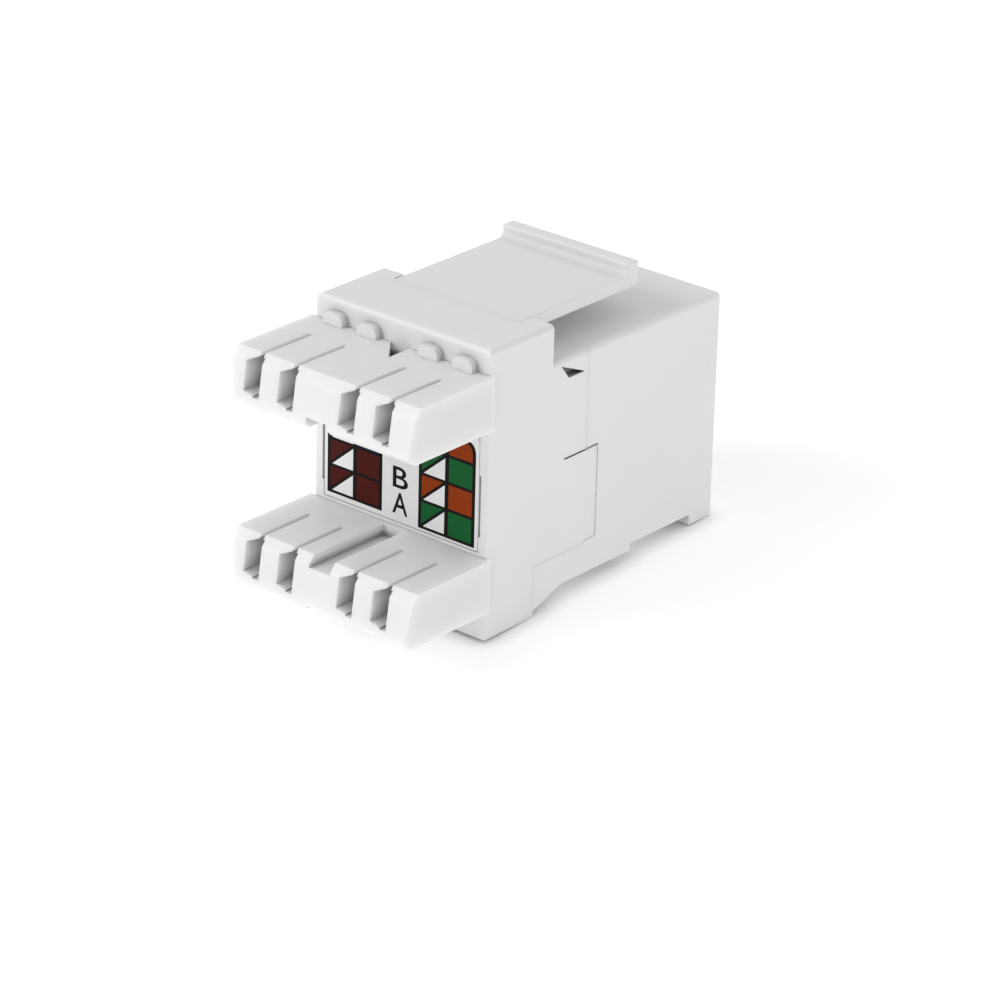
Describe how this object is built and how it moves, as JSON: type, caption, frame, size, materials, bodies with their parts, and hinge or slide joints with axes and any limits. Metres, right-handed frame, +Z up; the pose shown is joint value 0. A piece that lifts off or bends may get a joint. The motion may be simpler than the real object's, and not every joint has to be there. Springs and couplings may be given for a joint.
{
  "type": "keystone jack",
  "caption": "Snap-in modular jack for a wall plate: square plug port with springy contacts in front, sprung catch arm on top, two rows of punch-down terminals at the rear.",
  "frame": {"origin": "centre of the plug port in the plane of the front face", "axes": "-Y points out of the plug port, +Y back to the wire terminals along the longest extent, +Z up to the side with the catch arm"},
  "size_m": [0.0154, 0.031, 0.0206],
  "materials": {
    "white_plastic": "fine satin moulded plastic",
    "carrier_plastic": "satin moulded plastic",
    "board_green": "solder mask",
    "contact_gold": "gold-plated",
    "blade_tin": "tin-plated",
    "label_card": "printed card"
  },
  "bodies": {
    "jack": {"circuit_board": "board_green", "contact_carrier": "carrier_plastic", "contact_lead_1": "contact_gold", "contact_lead_2": "contact_gold", "contact_lead_3": "contact_gold", "contact_lead_4": "contact_gold", "contact_lead_5": "contact_gold", "contact_lead_6": "contact_gold", "contact_lead_7": "contact_gold", "contact_lead_8": "contact_gold", "front_housing": "white_plastic", "rear_cap": "white_plastic", "terminal_blade_1": "blade_tin", "terminal_blade_2": "blade_tin", "terminal_blade_3": "blade_tin", "terminal_blade_4": "blade_tin", "terminal_blade_5": "blade_tin", "terminal_blade_6": "blade_tin", "terminal_blade_7": "blade_tin", "terminal_blade_8": "blade_tin", "terminal_row_lower": "white_plastic", "terminal_row_upper": "white_plastic", "wiring_label": "label_card"},
    "latch": {"latch_arm": "white_plastic"},
    "contact_1": {"contact_spring_1": "contact_gold"},
    "contact_2": {"contact_spring_2": "contact_gold"},
    "contact_3": {"contact_spring_3": "contact_gold"},
    "contact_4": {"contact_spring_4": "contact_gold"},
    "contact_5": {"contact_spring_5": "contact_gold"},
    "contact_6": {"contact_spring_6": "contact_gold"},
    "contact_7": {"contact_spring_7": "contact_gold"},
    "contact_8": {"contact_spring_8": "contact_gold"}
  },
  "joints": [
    {"name": "latch_flex", "type": "hinge", "parent": "jack", "child": "latch", "pos_m": [0, 0.0171, 0.00975], "axis": [1, 0, 0], "range_deg": [0, 7.5], "stiffness_Nm_per_rad": 0.6},
    {"name": "contact_1_flex", "type": "hinge", "parent": "jack", "child": "contact_1", "pos_m": [-0.00356, 0.00245, 0.00515], "axis": [1, 0, 0], "range_deg": [0, 12], "stiffness_Nm_per_rad": 0.03},
    {"name": "contact_2_flex", "type": "hinge", "parent": "jack", "child": "contact_2", "pos_m": [-0.00254, 0.00245, 0.00515], "axis": [1, 0, 0], "range_deg": [0, 12], "stiffness_Nm_per_rad": 0.03},
    {"name": "contact_3_flex", "type": "hinge", "parent": "jack", "child": "contact_3", "pos_m": [-0.00152, 0.00245, 0.00515], "axis": [1, 0, 0], "range_deg": [0, 12], "stiffness_Nm_per_rad": 0.03},
    {"name": "contact_4_flex", "type": "hinge", "parent": "jack", "child": "contact_4", "pos_m": [-0.00051, 0.00245, 0.00515], "axis": [1, 0, 0], "range_deg": [0, 12], "stiffness_Nm_per_rad": 0.03},
    {"name": "contact_5_flex", "type": "hinge", "parent": "jack", "child": "contact_5", "pos_m": [0.00051, 0.00245, 0.00515], "axis": [1, 0, 0], "range_deg": [0, 12], "stiffness_Nm_per_rad": 0.03},
    {"name": "contact_6_flex", "type": "hinge", "parent": "jack", "child": "contact_6", "pos_m": [0.00152, 0.00245, 0.00515], "axis": [1, 0, 0], "range_deg": [0, 12], "stiffness_Nm_per_rad": 0.03},
    {"name": "contact_7_flex", "type": "hinge", "parent": "jack", "child": "contact_7", "pos_m": [0.00254, 0.00245, 0.00515], "axis": [1, 0, 0], "range_deg": [0, 12], "stiffness_Nm_per_rad": 0.03},
    {"name": "contact_8_flex", "type": "hinge", "parent": "jack", "child": "contact_8", "pos_m": [0.00356, 0.00245, 0.00515], "axis": [1, 0, 0], "range_deg": [0, 12], "stiffness_Nm_per_rad": 0.03}
  ]
}
